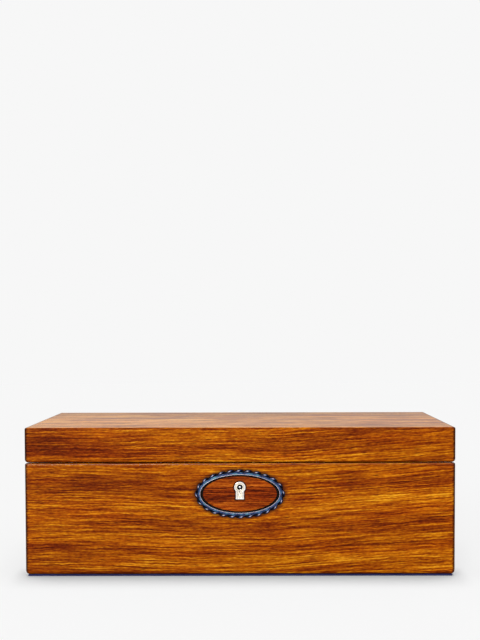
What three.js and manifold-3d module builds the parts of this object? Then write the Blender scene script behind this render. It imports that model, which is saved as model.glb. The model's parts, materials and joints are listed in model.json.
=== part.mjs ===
// Musical jewelry box: a mitred wooden case and lid on two butt hinges, with a box lock,
// a velvet-lined inside, a lid mirror and a pinned-cylinder musical movement.
// Millimetres, +Z up, front towards -Y, origin at the middle of the felt's underside.
import * as THREE from 'three';
import { mergeVertices } from 'three/addons/utils/BufferGeometryUtils.js';
import { RoundedBoxGeometry } from 'three/addons/geometries/RoundedBoxGeometry.js';
import Module from 'manifold-3d';

const wasm = await Module();
wasm.setup();

// Whole box
const WIDTH = 300;
const DEPTH = 200;
const FELT_THICK = 1.2;
const FELT_INSET = 0.5;
const CASE_HEIGHT = 78;
const SEAM_GAP = 0.4;
const LID_HEIGHT = 24.4;
const LID_TOP_THICK = 5.6;
const BOARD_THICK = 12;
const FLOOR_THICK = 6;
const CASE_FOOT_RADIUS = 2.6;
const CASE_TOP_RADIUS = 1.5;
const LID_RIM_RADIUS = 2.2;
const LID_TOP_RADIUS = 1.6;
const EDGE_STEPS = 2;

// Fits between pieces
const FIT = 0.3;
const GLUE = 0.1;
const RUNNING = 0.15;
const OVERRUN = 5;

// Velvet lining
const LINING_THICK = 1.6;
const LINING_DROP = 4;
const LID_LINING_DROP = 2;

// Oval ornament on the front
const OVAL_DROP = 21.6;
const RING_HALF_LENGTH = 31.4;
const RING_HALF_HEIGHT = 17.1;
const RING_BAND = 3.75;
const RING_PROUD = 0.9;
const LOBE_DEPTH = 1;
const LOBE_COUNT = 24;
const LOBE_STEPS = 4;
const LINE_SIDE = 1.9;
const LINE_EDGE = 1.2;
const INLAY_DEPTH = 1;
const OVAL_STEPS = 48;

// Keyhole escutcheon
const KEYHOLE_DROP = 17.05;
const KEYHOLE_HEAD = 7.9;
const KEYHOLE_WAIST = 5.2;
const KEYHOLE_WAIST_DROP = 3.85;
const KEYHOLE_FOOT = 5.9;
const KEYHOLE_FOOT_DROP = 8.45;
const ESCUTCHEON_DEPTH = 3.6;
const ESCUTCHEON_PROUD = 0.15;
const ESCUTCHEON_RIM = 1;
const ESCUTCHEON_RECESS = 0.8;
const KEY_BORE = 3.8;
const BIT_SLOT_WIDTH = 1;
const BIT_SLOT_DROP = 5.2;

// Box lock and its strike
const LOCK_WIDTH = 44;
const LOCK_HEIGHT = 22;
const LOCK_THICK = 8;
const SELVEDGE_WIDTH = 52;
const SELVEDGE_THICK = 1.6;
const PIN_DIAMETER = 1.6;
const PIN_PROUD = 2.4;
const KEY_BORE_DEPTH = 6;
const CHANNEL_DEPTH = 5.4;
const STAPLE_OFFSET = 10;
const STAPLE_THICK = 1.6;
const STAPLE_WIDTH = 4.4;
const STAPLE_REACH = 7.4;
const STAPLE_WALL = 1.4;
const BOLT_THICK = 1.8;
const BOLT_TRAVEL = 4;
const BOLT_BAR = 4;
const BOLT_ARM = 2;
const BOLT_FINGER = 2;

// Hinges
const HINGE_INSET = 55;
const HINGE_LENGTH = 38;
const LEAF_THICK = 1.2;
const LEAF_DEPTH = 9.5;
const KNUCKLE_RADIUS = 2;
const KNUCKLES = 5;
const HINGE_PIN = 1.8;

// Dividers and ring rolls
const DIVIDER_THICK = 4;
const DIVIDER_RISE = 1;
const ROLL_COUNT = 5;
const ROLL_HEIGHT = 15;
const ROLL_PINCH = 1.5;
const ROLL_RINGS = 10;
const ROLL_SIDES = 14;

// Lid mirror
const MIRROR_THICK = 2.5;
const MIRROR_SIDE_MARGIN = 44;
const MIRROR_END_MARGIN = 28;
const FRAME_WIDTH = 8;
const FRAME_LIP = 4;
const FRAME_THICK = 4.4;

// Movement: block, bed and key well
const BLOCK_HEIGHT = 10.8;
const BLOCK_MARGIN = 3;
const WELL_RADIUS = 15;
const WELL_WALL = 6;
const WELL_STEPS = 32;
const BAY_SIDE_GAP = 3;
const BAY_END_GAP = 13;
const BED_THICK = 2.4;
const BED_MARGIN = 2.5;
const COVER_THICK = 2;
const LEDGE_WIDTH = 4;
const LEDGE_HEIGHT = 5;

// Movement: gears, on one module for the crown pair and one for the fine train
const MODULE = 0.75;
const CROWN_TEETH = 24;
const PINION_TEETH = 12;
const FINE_MODULE = 0.6;
const CYLINDER_GEAR_TEETH = 26;
const IDLER_PINION_TEETH = 6;
const WORM_WHEEL_TEETH = 18;
const GEAR_FACE = 1.8;
const TOOTH_TIP_SHARE = 0.16;
const TOOTH_ROOT_SHARE = 0.42;
const ADDENDUM_SHARE = 0.8;
const DEDENDUM_SHARE = 1.2;

// Movement: barrel, cylinder, comb, bracket and fly
const BARREL_HEIGHT = 8.5;
const CROWN_FACE = 1.8;
const ARBOR_RADIUS = 1.6;
const BRIDGE_WIDTH = 8;
const BRIDGE_THICK = 4.4;
const BRIDGE_POST = 2.4;
const SHAFT_RADIUS = 0.8;
const CYLINDER_RADIUS = 6.5;
const CYLINDER_LENGTH = 19;
const CYLINDER_STEPS = 36;
const TUNE_PIN_SIZE = 0.4;
const TUNE_PIN_HEIGHT = 0.5;
const TUNE_PINS_PER_TRACK = 3;
const TUNE_SPREAD_SHARES = [0.09, 0.41, 0.74];
const COMB_TEETH = 18;
const COMB_TOOTH_LENGTH = 7;
const COMB_LENGTH = 14;
const COMB_THICK = 1.4;
const COMB_SLOT_SHARE = 0.35;
const BRACKET_WALL = 1.6;
const SHAFT_SEAT = 1.1;
const WORM_RADIUS = 1.4;
const WORM_HALF = 4;
const FLY_WIDTH = 9;
const FLY_HEIGHT = 4;
const FLY_BLADE = 0.8;
const GEAR_GAP = 1;

// Winding key
const KEY_RECESS = 1.6;
const KEY_WIDTH = 22;
const KEY_HEIGHT = 10;
const KEY_THICK = 2.4;
const KEY_HUB_RADIUS = 3;
const KEY_HUB_HEIGHT = 3.6;

// Stop plunger
const PLUNGER_RADIUS = 1.5;
const STOP_TRAVEL = 2.5;
const STOP_ARM_WIDTH = 3;
const STOP_ARM_THICK = 1.2;

const ROUND_STEPS = 16;

// Finishes
const finish = (color, roughness, metalness) => ({ color, roughness, metalness });
const WOOD = finish(0xa4560f, 0.35, 0);
const RED_WOOD = finish(0x8c3c10, 0.35, 0);
const DARK_WOOD = finish(0x120a06, 0.5, 0);
const BLUE = finish(0x355a8c, 0.3, 0.4);
const NICKEL = finish(0xd8d6d2, 0.15, 1);
const BRASS = finish(0xc9a050, 0.25, 1);
const STEEL = finish(0xa8abb0, 0.3, 1);
const ZINC = finish(0xb4b6ba, 0.45, 0.9);
const VELVET = finish(0x1a2244, 0.95, 0);
const FELT = finish(0x1c1f40, 0.95, 0);
const MIRROR = finish(0xeef2f4, 0.02, 1);
const CLEAR = finish(0xe8f0f2, 0.05, 0);

const jewelryBox = new THREE.Group();
jewelryBox.name = 'musical_jewelry_box';

// Adds one named piece from a geometry or from a cut solid
function add(name, shape, look) {
  const geometry = shape.isBufferGeometry ? shape : toGeometry(shape);
  const piece = new THREE.Mesh(geometry, new THREE.MeshStandardMaterial(look));
  piece.name = name;
  jewelryBox.add(piece);
}

// Turns a closed geometry into a solid that can be joined and cut
function solid(geometry) {
  const bare = geometry.clone();
  bare.deleteAttribute('normal');
  bare.deleteAttribute('uv');
  const merged = mergeVertices(bare);
  return new wasm.Manifold(new wasm.Mesh({
    numProp: 3,
    vertProperties: merged.attributes.position.array,
    triVerts: Uint32Array.from(merged.index.array),
  }));
}

function toGeometry(shape) {
  const result = shape.getMesh();
  const geometry = new THREE.BufferGeometry();
  geometry.setAttribute('position', new THREE.BufferAttribute(Float32Array.from(result.vertProperties), 3));
  geometry.setIndex(new THREE.BufferAttribute(Uint32Array.from(result.triVerts), 1));
  geometry.computeVertexNormals();
  return geometry;
}

function join(...shapes) {
  return shapes.map(solid).reduce((whole, next) => whole.add(next));
}

function cut(body, ...tools) {
  return tools.reduce((left, tool) => left.subtract(solid(tool)), body.isBufferGeometry ? solid(body) : body);
}

// A box between two corners, with each face exactly at its own value
function block(x0, x1, y0, y1, z0, z1) {
  const geometry = new THREE.BoxGeometry(1, 1, 1);
  const place = geometry.attributes.position;
  range(place.count).forEach((index) => place.setXYZ(
    index,
    place.getX(index) < 0 ? x0 : x1,
    place.getY(index) < 0 ? y0 : y1,
    place.getZ(index) < 0 ? z0 : z1,
  ));
  return geometry;
}

// A round bar along one axis, from start to end, at the place given on the other two axes
function rod(axis, start, end, first, second, radius, steps = ROUND_STEPS) {
  const geometry = new THREE.CylinderGeometry(radius, radius, end - start, steps);
  const middle = (start + end) / 2;
  if (axis === 'x') {
    return geometry.rotateZ(-Math.PI / 2).translate(middle, first, second);
  }
  if (axis === 'y') {
    return geometry.translate(first, middle, second);
  }
  return geometry.rotateX(Math.PI / 2).translate(first, second, middle);
}

// An outline drawn across one axis and extruded along it: (y, z) for x, (x, z) for y, (x, y) for z
function extrude(axis, outline, start, end) {
  const geometry = new THREE.ExtrudeGeometry(outline, {
    depth: 1,
    bevelEnabled: false,
    curveSegments: ROUND_STEPS,
  });
  const place = geometry.attributes.position;
  range(place.count).forEach((index) => {
    const [first, second] = [place.getX(index), place.getY(index)];
    const far = place.getZ(index) > 0;
    if (axis === 'x') {
      place.setXYZ(index, far ? end : start, first, second);
    } else if (axis === 'y') {
      place.setXYZ(index, first, far ? start : end, second);
    } else {
      place.setXYZ(index, first, second, far ? end : start);
    }
  });
  return geometry;
}

function outlineOf(points) {
  return new THREE.Shape(points.map(([first, second]) => new THREE.Vector2(first, second)));
}

function range(count) {
  return [...Array(count).keys()];
}

// Levels and inner faces
const caseLow = FELT_THICK;
const caseTop = caseLow + CASE_HEIGHT;
const floorTop = caseLow + FLOOR_THICK;
const lidLow = caseTop + SEAM_GAP;
const lidTop = lidLow + LID_HEIGHT;
const railTop = lidTop - LID_TOP_THICK;
const halfWidth = WIDTH / 2;
const halfDepth = DEPTH / 2;
const innerX = halfWidth - BOARD_THICK;
const innerY = halfDepth - BOARD_THICK;
const linedX = innerX - LINING_THICK;
const linedY = innerY - LINING_THICK;
const linedFloor = floorTop + LINING_THICK;
const liningTop = caseTop - LINING_DROP;

// Movement plan along X, measured from the barrel's axis
const crownRadius = (CROWN_TEETH * MODULE) / 2;
const pinionRadius = (PINION_TEETH * MODULE) / 2;
const gearRadius = (CYLINDER_GEAR_TEETH * FINE_MODULE) / 2;
const idlerPinionRadius = (IDLER_PINION_TEETH * FINE_MODULE) / 2;
const wormWheelRadius = (WORM_WHEEL_TEETH * FINE_MODULE) / 2;
const fineAddendum = FINE_MODULE * ADDENDUM_SHARE;
const barrelRadius = crownRadius + CROWN_FACE / 2;
const planCylinder = barrelRadius + GEAR_GAP;
const planGear = planCylinder + CYLINDER_LENGTH + GEAR_GAP / 2;
const planCheek = planGear + GEAR_FACE + GEAR_GAP / 2;
const planWheel = planCheek + BRACKET_WALL + GEAR_GAP / 2;
const planPlate = planWheel + GEAR_FACE + GEAR_GAP / 2;
const planBedLeft = -barrelRadius - BED_MARGIN;
const planBedRight = planPlate + BRACKET_WALL + BED_MARGIN;
const planBlockLeft = -WELL_RADIUS - WELL_WALL;
const planBlockRight = planBedRight + BLOCK_MARGIN;

// Movement plan along Y, measured from the cylinder's axis
const planIdler = gearRadius + idlerPinionRadius;
const planWorm = planIdler + wormWheelRadius + fineAddendum + FIT + WORM_RADIUS;
const planBedBack = planWorm + FLY_WIDTH / 2;
const planCombTip = -CYLINDER_RADIUS - TUNE_PIN_HEIGHT - RUNNING;
const planCombHeel = planCombTip - COMB_LENGTH;
const planBedFront = planCombHeel - BED_MARGIN;

// Movement bay in the back right corner
const barrelX = linedX - BAY_SIDE_GAP - planBlockRight;
const cylinderY = linedY - BAY_END_GAP - planBedBack - BLOCK_MARGIN;
const bayLeft = barrelX + planBlockLeft - BAY_SIDE_GAP;
const bayFront = cylinderY + planBedFront - BLOCK_MARGIN - BAY_END_GAP;

// Movement levels
const bedLow = floorTop + BLOCK_HEIGHT;
const bedTop = bedLow + BED_THICK;
const barrelLow = bedTop + FIT;
const barrelTop = barrelLow + BARREL_HEIGHT;
const pitchPlane = barrelTop + MODULE * DEDENDUM_SHARE;
const cylinderZ = pitchPlane + pinionRadius;
const upperArmLow = cylinderZ + WORM_HALF + FIT;
const upperArmTop = upperArmLow + BRACKET_WALL;
const flyLow = upperArmTop + FIT;
const flyTop = flyLow + FLY_HEIGHT;
const stopArmLow = flyTop + FIT;
const stopArmTop = stopArmLow + STOP_ARM_THICK;
const coverLow = stopArmTop + STOP_TRAVEL + FIT;
const coverTop = coverLow + COVER_THICK;
const dividerTop = coverTop + DIVIDER_RISE;
const wormX = barrelX + planWheel + GEAR_FACE / 2;
const wormY = cylinderY + planWorm;

// Front ornament and keyhole places
const ovalZ = caseTop - OVAL_DROP;
const keyholeZ = caseTop - KEYHOLE_DROP;
const lineHalfLength = RING_HALF_LENGTH - RING_BAND;
const lineHalfHeight = RING_HALF_HEIGHT - RING_BAND;
const panelHalfLength = lineHalfLength - LINE_SIDE;
const panelHalfHeight = lineHalfHeight - LINE_EDGE;

// An ellipse on the front, as a closed list of points
function ovalPoints(halfLength, halfHeight) {
  return range(OVAL_STEPS).map((step) => {
    const turn = (2 * Math.PI * step) / OVAL_STEPS;
    return [halfLength * Math.cos(turn), ovalZ + halfHeight * Math.sin(turn)];
  });
}

function ringOf(outer, inner) {
  const outline = outlineOf(outer);
  outline.holes.push(new THREE.Path(inner.map(([x, z]) => new THREE.Vector2(x, z))));
  return outline;
}

// The rope edge: lobes spaced evenly by length round an ellipse
function ropePoints() {
  const halfLength = RING_HALF_LENGTH - LOBE_DEPTH;
  const halfHeight = RING_HALF_HEIGHT - LOBE_DEPTH;
  const curve = new THREE.EllipseCurve(0, 0, halfLength, halfHeight, 0, 2 * Math.PI, false, 0);
  const count = LOBE_COUNT * LOBE_STEPS;
  return range(count).map((step) => {
    const place = curve.getPointAt(step / count);
    const outward = new THREE.Vector2(place.x / halfLength ** 2, place.y / halfHeight ** 2).normalize();
    const bump = LOBE_DEPTH * Math.abs(Math.cos((Math.PI * step) / LOBE_STEPS));
    return [place.x + bump * outward.x, ovalZ + place.y + bump * outward.y];
  });
}

// Keyhole outline: a round head over a flared foot, grown outwards by a margin
function keyholeOutline(grow) {
  const head = KEYHOLE_HEAD / 2 + grow;
  const waist = KEYHOLE_WAIST / 2 + grow;
  const foot = KEYHOLE_FOOT / 2 + grow;
  const footZ = keyholeZ - KEYHOLE_FOOT_DROP - grow;
  const waistZ = keyholeZ - Math.max(KEYHOLE_WAIST_DROP, Math.sqrt(head ** 2 - waist ** 2));
  const dip = Math.acos(waist / head);
  const outline = new THREE.Shape();
  outline.moveTo(-foot, footZ);
  outline.lineTo(foot, footZ);
  outline.lineTo(waist, waistZ);
  outline.absarc(0, keyholeZ, head, -dip, Math.PI + dip, false);
  outline.lineTo(-waist, waistZ);
  return outline;
}

// Boards and rails: one box, rounded more below than above, cut along mitres into four sides
function roundedBox(low, high, lowRadius, highRadius) {
  const rounded = (from, to, radius) => {
    const geometry = new RoundedBoxGeometry(WIDTH, DEPTH, to - from, EDGE_STEPS, radius);
    return solid(geometry.translate(0, 0, (from + to) / 2));
  };
  return rounded(low, high + OVERRUN, lowRadius).intersect(rounded(low - OVERRUN, high, highRadius));
}

function mitredBoards(box, low, high) {
  const slip = (GLUE / 2) * Math.SQRT2;
  const longOutline = outlineOf([
    [-halfWidth - OVERRUN + slip, -halfDepth - OVERRUN],
    [halfWidth + OVERRUN - slip, -halfDepth - OVERRUN],
    [innerX - slip, -innerY],
    [-innerX + slip, -innerY],
  ]);
  const shortOutline = outlineOf([
    [innerX, -innerY + slip],
    [halfWidth + OVERRUN, -halfDepth - OVERRUN + slip],
    [halfWidth + OVERRUN, halfDepth + OVERRUN - slip],
    [innerX, innerY - slip],
  ]);
  const front = extrude('z', longOutline, low, high);
  const right = extrude('z', shortOutline, low, high);
  return {
    front: box.intersect(solid(front)),
    back: box.intersect(solid(front.clone().rotateZ(Math.PI))),
    right: box.intersect(solid(right)),
    left: box.intersect(solid(right.clone().rotateZ(Math.PI))),
  };
}

// Lock places, shared by the case, the lock and the strike
const lockFront = -innerY - LOCK_THICK;
const selvedgeLow = caseTop - SELVEDGE_THICK;
const lockLow = selvedgeLow - LOCK_HEIGHT;
const channelY = -innerY - LOCK_THICK / 2;
const strikeTop = lidLow + SELVEDGE_THICK;
const stapleLow = lidLow - STAPLE_REACH;
const channelLow = stapleLow - FIT - BOLT_BAR - FIT;

// Hinge places
const hingeY = halfDepth + KNUCKLE_RADIUS + GLUE;
const hingeZ = (caseTop + lidLow) / 2;
const leafFront = halfDepth - LEAF_DEPTH;
const hinges = [
  ['left', -halfWidth + HINGE_INSET],
  ['right', halfWidth - HINGE_INSET],
];

// Stop plunger places
const plungerY = halfDepth - BOARD_THICK / 2;
const plungerLow = stopArmLow - STOP_ARM_THICK;

function felt() {
  const x = halfWidth - FELT_INSET;
  const y = halfDepth - FELT_INSET;
  return cut(block(-x, x, -y, y, 0, FELT_THICK), wellCutter());
}

function wellCutter() {
  return rod('z', -OVERRUN, bedLow + OVERRUN, barrelX, cylinderY, WELL_RADIUS, WELL_STEPS);
}

function caseBoards() {
  const box = roundedBox(caseLow, caseTop, CASE_FOOT_RADIUS, CASE_TOP_RADIUS);
  const boards = mitredBoards(box, caseLow - OVERRUN, caseTop + OVERRUN);
  const lockPocket = block(
    -LOCK_WIDTH / 2 - GLUE, LOCK_WIDTH / 2 + GLUE,
    lockFront - GLUE, -innerY + OVERRUN,
    lockLow, caseTop + OVERRUN,
  );
  const selvedgePocket = block(
    -SELVEDGE_WIDTH / 2 - GLUE, SELVEDGE_WIDTH / 2 + GLUE,
    lockFront - GLUE, -innerY + OVERRUN,
    selvedgeLow, caseTop + OVERRUN,
  );
  const ovalPocket = extrude(
    'y', outlineOf(ovalPoints(lineHalfLength + GLUE, lineHalfHeight + GLUE)),
    -halfDepth - OVERRUN, -halfDepth + INLAY_DEPTH,
  );
  const keyPassage = extrude('y', keyholeOutline(FIT), -halfDepth - OVERRUN, -innerY + OVERRUN);
  boards.front = cut(boards.front, lockPocket, selvedgePocket, ovalPocket, keyPassage);
  const mortises = hinges.map(([, x]) => block(
    x - HINGE_LENGTH / 2 - GLUE, x + HINGE_LENGTH / 2 + GLUE,
    leafFront - GLUE, halfDepth + OVERRUN,
    caseTop - LEAF_THICK, caseTop + OVERRUN,
  ));
  const plungerBore = rod('z', plungerLow - FIT, caseTop + OVERRUN, wormX, plungerY, PLUNGER_RADIUS + FIT);
  boards.back = cut(boards.back, ...mortises, plungerBore, stopSlot());
  Object.entries(boards).forEach(([side, board]) => add(`case_${side}`, board, WOOD));
}

// The way that the stop arm takes through the back board and its lining
function stopSlot() {
  const side = STOP_ARM_WIDTH / 2 + FIT;
  return block(
    wormX - side, wormX + side,
    linedY - OVERRUN, plungerY,
    stopArmLow - FIT, stopArmTop + STOP_TRAVEL + FIT,
  );
}

function caseFloor() {
  const floor = block(-innerX, innerX, -innerY, innerY, caseLow, floorTop);
  add('case_floor', cut(floor, wellCutter()), WOOD);
  add('felt_pad', felt(), FELT);
}

function ovalOrnament() {
  const face = -halfDepth;
  const band = ovalPoints(lineHalfLength, lineHalfHeight);
  add('oval_ring', extrude('y', ringOf(ropePoints(), band), face - RING_PROUD, face), BLUE);
  const panelEdge = ovalPoints(panelHalfLength + GLUE, panelHalfHeight + GLUE);
  const lineRing = ringOf(ovalPoints(lineHalfLength, lineHalfHeight), panelEdge);
  add('oval_line', extrude('y', lineRing, face, face + INLAY_DEPTH), DARK_WOOD);
  const panel = extrude('y', outlineOf(ovalPoints(panelHalfLength, panelHalfHeight)), face, face + INLAY_DEPTH);
  const keyPassage = extrude('y', keyholeOutline(FIT), face - OVERRUN, face + OVERRUN);
  add('oval_panel', cut(panel, keyPassage), RED_WOOD);
}

function escutcheon() {
  const front = -halfDepth - ESCUTCHEON_PROUD;
  const back = -halfDepth + ESCUTCHEON_DEPTH;
  const body = extrude('y', keyholeOutline(0), front, back);
  const recess = extrude('y', keyholeOutline(-ESCUTCHEON_RIM), front - OVERRUN, front + ESCUTCHEON_RECESS);
  const bore = rod('y', front - OVERRUN, back + OVERRUN, 0, keyholeZ, KEY_BORE / 2);
  add('keyhole_escutcheon', cut(body, recess, bore, bitSlot(front - OVERRUN, back + OVERRUN)), NICKEL);
}

function bitSlot(front, back) {
  return block(-BIT_SLOT_WIDTH / 2, BIT_SLOT_WIDTH / 2, front, back, keyholeZ - BIT_SLOT_DROP, keyholeZ);
}

function lock() {
  const body = block(-LOCK_WIDTH / 2, LOCK_WIDTH / 2, lockFront, -innerY, lockLow, selvedgeLow);
  const channel = block(
    -LOCK_WIDTH / 2 + STAPLE_WALL, LOCK_WIDTH / 2 - STAPLE_WALL,
    channelY - CHANNEL_DEPTH / 2, channelY + CHANNEL_DEPTH / 2,
    channelLow, selvedgeLow + OVERRUN,
  );
  const boreEnd = lockFront + KEY_BORE_DEPTH;
  const bore = rod('y', lockFront - OVERRUN, boreEnd, 0, keyholeZ, KEY_BORE / 2);
  add('lock_case', cut(body, channel, bore, bitSlot(lockFront - OVERRUN, lockFront + ESCUTCHEON_RIM)), NICKEL);
  add('lock_pin', rod('y', lockFront - PIN_PROUD, boreEnd, 0, keyholeZ, PIN_DIAMETER / 2), STEEL);

  const selvedge = block(-SELVEDGE_WIDTH / 2, SELVEDGE_WIDTH / 2, lockFront, -innerY, selvedgeLow, caseTop);
  const slots = [-STAPLE_OFFSET, STAPLE_OFFSET].map((x) => block(
    x - STAPLE_THICK / 2 - FIT, x + STAPLE_THICK / 2 + FIT,
    channelY - STAPLE_WIDTH / 2 - FIT, channelY + STAPLE_WIDTH / 2 + FIT,
    selvedgeLow - OVERRUN, caseTop + OVERRUN,
  ));
  add('lock_selvedge', cut(selvedge, ...slots), BRASS);
  lockBolt();
}

// The bolt's two fingers slide through the eyes of the staples
function lockBolt() {
  const barLow = channelLow + FIT;
  const barTop = barLow + BOLT_BAR;
  const fingerMiddle = (stapleLow + STAPLE_WALL + lidLow - STAPLE_WALL - SELVEDGE_THICK) / 2;
  const fingerLow = fingerMiddle - BOLT_FINGER / 2;
  const fingerTop = fingerMiddle + BOLT_FINGER / 2;
  const tip = -STAPLE_THICK / 2 - FIT;
  const armRight = tip - BOLT_TRAVEL - STAPLE_THICK / 2;
  const armLeft = armRight - BOLT_ARM;
  const hook = (x) => [[x + armLeft, fingerTop], [x + tip, fingerTop], [x + tip, fingerLow], [x + armRight, fingerLow]];
  const [left, right] = [-STAPLE_OFFSET, STAPLE_OFFSET];
  const outline = outlineOf([
    [left + armLeft, barLow],
    ...hook(left),
    [left + armRight, barTop],
    [right + armLeft, barTop],
    ...hook(right),
    [right + armRight, barLow],
  ]);
  const half = BOLT_THICK / 2;
  add('lock_bolt', extrude('y', outline, channelY - half, channelY + half), STEEL);
}

// Link plate under the lid's front rail, with two eyed staples
function lockStrike() {
  const plate = block(-SELVEDGE_WIDTH / 2, SELVEDGE_WIDTH / 2, lockFront, -innerY, lidLow, strikeTop);
  const staples = [-STAPLE_OFFSET, STAPLE_OFFSET].map((x) => block(
    x - STAPLE_THICK / 2, x + STAPLE_THICK / 2,
    channelY - STAPLE_WIDTH / 2, channelY + STAPLE_WIDTH / 2,
    stapleLow, strikeTop,
  ));
  const eye = block(
    -LOCK_WIDTH / 2, LOCK_WIDTH / 2,
    channelY - STAPLE_WIDTH / 2 + STAPLE_WALL - FIT, channelY + STAPLE_WIDTH / 2 - STAPLE_WALL + FIT,
    stapleLow + STAPLE_WALL, lidLow - STAPLE_WALL - SELVEDGE_THICK,
  );
  add('lock_strike', cut(join(plate, ...staples), eye), BRASS);
}

function hinge(side, x) {
  const start = x - HINGE_LENGTH / 2;
  const pitch = HINGE_LENGTH / KNUCKLES;
  const leaf = (low, high, parity) => {
    const plate = block(start, start + HINGE_LENGTH, leafFront, halfDepth, low, high);
    const knuckles = range(KNUCKLES).filter((place) => place % 2 === parity).flatMap((place) => {
      const from = start + place * pitch + RUNNING;
      const to = start + (place + 1) * pitch - RUNNING;
      return [
        rod('x', from, to, hingeY, hingeZ, KNUCKLE_RADIUS),
        block(from, to, halfDepth - KNUCKLE_RADIUS, hingeY, low, high),
      ];
    });
    const bore = rod('x', start - OVERRUN, start + HINGE_LENGTH + OVERRUN, hingeY, hingeZ, HINGE_PIN / 2 + RUNNING);
    return cut(join(plate, ...knuckles), bore);
  };
  add(`hinge_case_leaf_${side}`, leaf(caseTop - LEAF_THICK, caseTop, 0), BRASS);
  add(`hinge_lid_leaf_${side}`, leaf(lidLow, lidLow + LEAF_THICK, 1), BRASS);
  add(`hinge_pin_${side}`, rod('x', start, start + HINGE_LENGTH, hingeY, hingeZ, HINGE_PIN / 2), STEEL);
}

function lid() {
  const box = roundedBox(lidLow, lidTop, LID_RIM_RADIUS, LID_TOP_RADIUS);
  const rails = mitredBoards(box, lidLow - OVERRUN, railTop);
  const strikePocket = block(
    -SELVEDGE_WIDTH / 2 - GLUE, SELVEDGE_WIDTH / 2 + GLUE,
    lockFront - GLUE, -innerY + OVERRUN,
    lidLow - OVERRUN, strikeTop,
  );
  rails.front = cut(rails.front, strikePocket);
  const mortises = hinges.map(([, x]) => block(
    x - HINGE_LENGTH / 2 - GLUE, x + HINGE_LENGTH / 2 + GLUE,
    leafFront - GLUE, halfDepth + OVERRUN,
    lidLow - OVERRUN, lidLow + LEAF_THICK,
  ));
  rails.back = cut(rails.back, ...mortises);
  Object.entries(rails).forEach(([side, rail]) => add(`lid_${side}`, rail, WOOD));
  const above = block(-WIDTH, WIDTH, -DEPTH, DEPTH, railTop, lidTop + OVERRUN);
  add('lid_top', box.intersect(solid(above)), WOOD);
}

function lidInside() {
  const shell = block(-innerX, innerX, -innerY, innerY, lidLow + LID_LINING_DROP, railTop);
  const ceiling = railTop - LINING_THICK;
  const hollow = block(-linedX, linedX, -linedY, linedY, lidLow - OVERRUN, ceiling);
  add('lid_lining', cut(shell, hollow), VELVET);

  const glassX = linedX - MIRROR_SIDE_MARGIN;
  const glassY = linedY - MIRROR_END_MARGIN;
  const rebateLow = ceiling - FIT - MIRROR_THICK - FIT;
  const outer = block(
    -glassX - FRAME_WIDTH + FRAME_LIP, glassX + FRAME_WIDTH - FRAME_LIP,
    -glassY - FRAME_WIDTH + FRAME_LIP, glassY + FRAME_WIDTH - FRAME_LIP,
    ceiling - FRAME_THICK, ceiling,
  );
  const sight = block(
    -glassX + FRAME_LIP, glassX - FRAME_LIP,
    -glassY + FRAME_LIP, glassY - FRAME_LIP,
    ceiling - FRAME_THICK - OVERRUN, ceiling + OVERRUN,
  );
  const rebate = block(-glassX - FIT, glassX + FIT, -glassY - FIT, glassY + FIT, rebateLow, ceiling + OVERRUN);
  add('mirror_frame', cut(outer, sight, rebate), WOOD);
  add('lid_mirror', block(-glassX, glassX, -glassY, glassY, rebateLow + FIT, ceiling - FIT), MIRROR);
}

function caseLining() {
  add('lining_front', block(-innerX, innerX, -innerY, -linedY, floorTop, liningTop), VELVET);
  add('lining_back', cut(block(-innerX, innerX, linedY, innerY, floorTop, liningTop), stopSlot()), VELVET);
  add('lining_left', block(-innerX, -linedX, -linedY, linedY, floorTop, liningTop), VELVET);
  add('lining_right', block(linedX, innerX, -linedY, linedY, floorTop, liningTop), VELVET);
  const blockHole = block(
    barrelX + planBlockLeft - FIT, barrelX + planBlockRight + FIT,
    cylinderY + planBedFront - BLOCK_MARGIN - FIT, cylinderY + planBedBack + BLOCK_MARGIN + FIT,
    floorTop - OVERRUN, linedFloor + OVERRUN,
  );
  add('lining_floor', cut(block(-linedX, linedX, -linedY, linedY, floorTop, linedFloor), blockHole), VELVET);
}

function dividers() {
  const longFront = bayFront - DIVIDER_THICK;
  const half = DIVIDER_THICK / 2;
  add('divider_long', block(-linedX, linedX, longFront, bayFront, linedFloor, dividerTop), VELVET);
  add('divider_short', block(-half, half, -linedY, longFront, linedFloor, dividerTop), VELVET);
  add('divider_movement', block(bayLeft - DIVIDER_THICK, bayLeft, bayFront, linedY, linedFloor, dividerTop), VELVET);
}

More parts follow.
